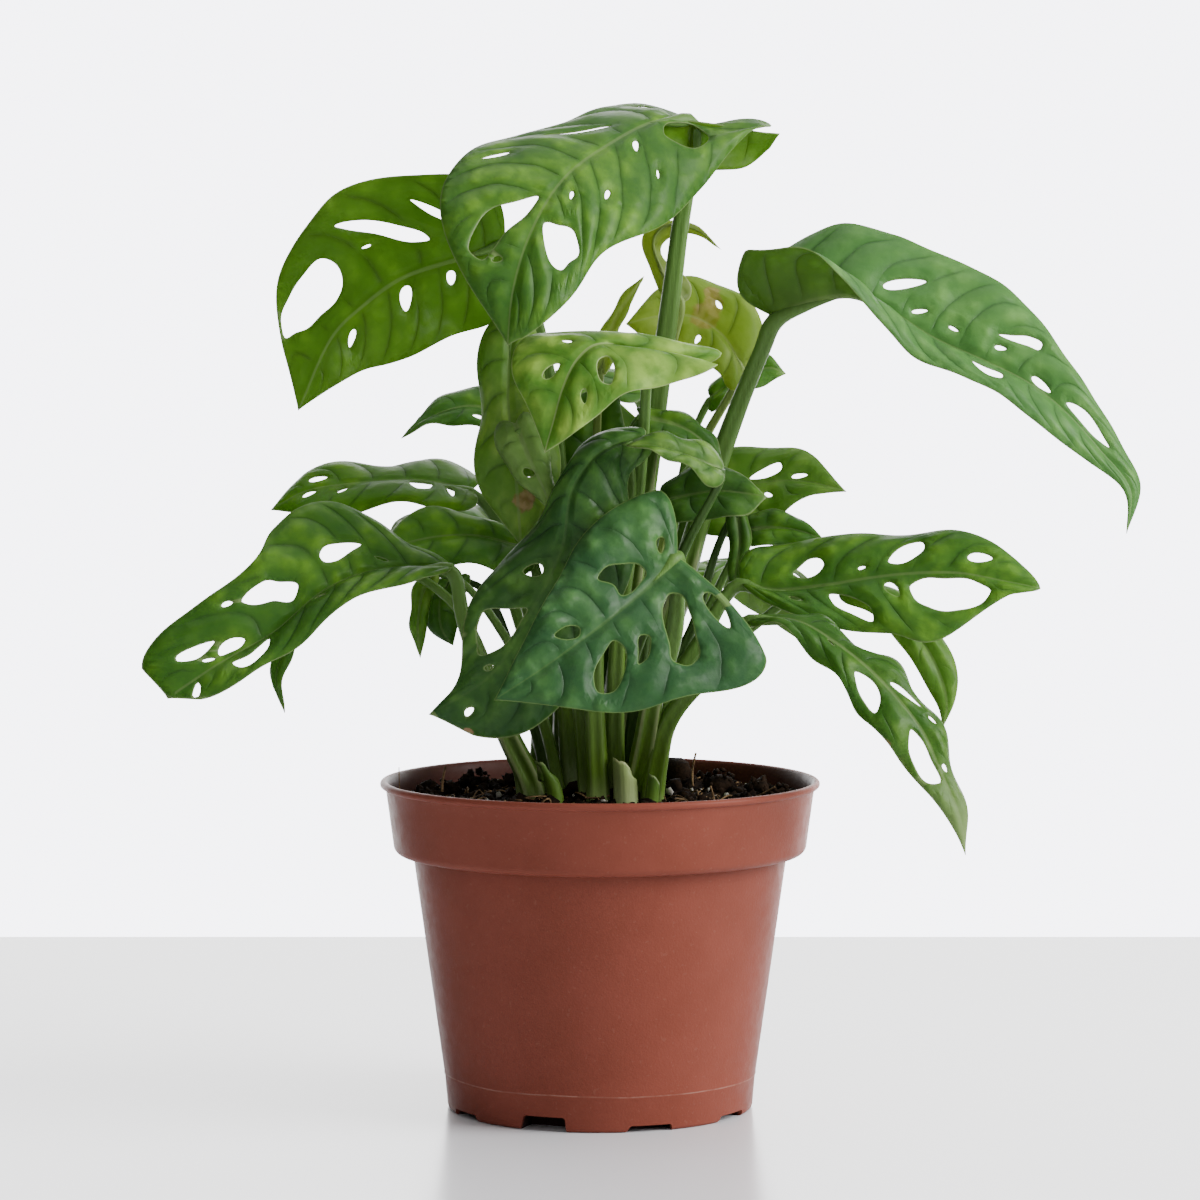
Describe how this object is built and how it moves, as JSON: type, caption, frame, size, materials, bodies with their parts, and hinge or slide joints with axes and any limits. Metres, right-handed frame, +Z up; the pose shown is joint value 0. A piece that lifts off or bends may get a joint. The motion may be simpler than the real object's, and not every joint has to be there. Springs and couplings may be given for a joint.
{
  "type": "potted swiss cheese vine",
  "caption": "Bushy young swiss cheese vine with perforated, arching leaves on slender petioles in a stepped plastic nursery pot of dark soil.",
  "frame": {"origin": "the pot's axis at the surface that it stands on", "axes": "+Z up along the pot's axis, +X towards the side of the long arching right-hand leaf, -Y towards the side with the front leaf"},
  "size_m": [0.2677, 0.1866, 0.2746],
  "materials": {
    "pot_plastic": "satin moulded terracotta-coloured plastic",
    "potting_soil": "dark, damp, crumbly",
    "leaf_tissue": "green, softly glossy, lightly translucent",
    "new_leaf_tissue": "pale yellow-green, softly glossy",
    "old_stem": "pale, slightly fibrous"
  },
  "bodies": {
    "root": {"leaf_back_high": "leaf_tissue", "leaf_back_left": "leaf_tissue", "leaf_back_right": "leaf_tissue", "leaf_back_tip": "leaf_tissue", "leaf_centre_back": "leaf_tissue", "leaf_centre_dark": "leaf_tissue", "leaf_centre_folded": "leaf_tissue", "leaf_centre_right": "leaf_tissue", "leaf_centre_small": "new_leaf_tissue", "leaf_dark_strap": "leaf_tissue", "leaf_front": "leaf_tissue", "leaf_left_back": "leaf_tissue", "leaf_left_inner": "leaf_tissue", "leaf_left_long": "leaf_tissue", "leaf_left_small": "leaf_tissue", "leaf_left_upright": "leaf_tissue", "leaf_left_wavy": "leaf_tissue", "leaf_low_left": "leaf_tissue", "leaf_new_broad": "new_leaf_tissue", "leaf_new_tip": "new_leaf_tissue", "leaf_right_back": "leaf_tissue", "leaf_right_drooping": "leaf_tissue", "leaf_right_long": "leaf_tissue", "leaf_right_strap": "leaf_tissue", "leaf_right_top": "leaf_tissue", "leaf_right_under": "leaf_tissue", "leaf_spear": "new_leaf_tissue", "leaf_top": "leaf_tissue", "leaf_under_dark": "leaf_tissue", "leaf_under_left": "leaf_tissue", "leaf_under_yellow": "leaf_tissue", "leaf_upper_left": "leaf_tissue", "pot": "pot_plastic", "soil": "potting_soil", "stem_stub_front": "old_stem", "stem_stub_left": "old_stem", "stem_stub_right": "old_stem"}
  },
  "joints": []
}
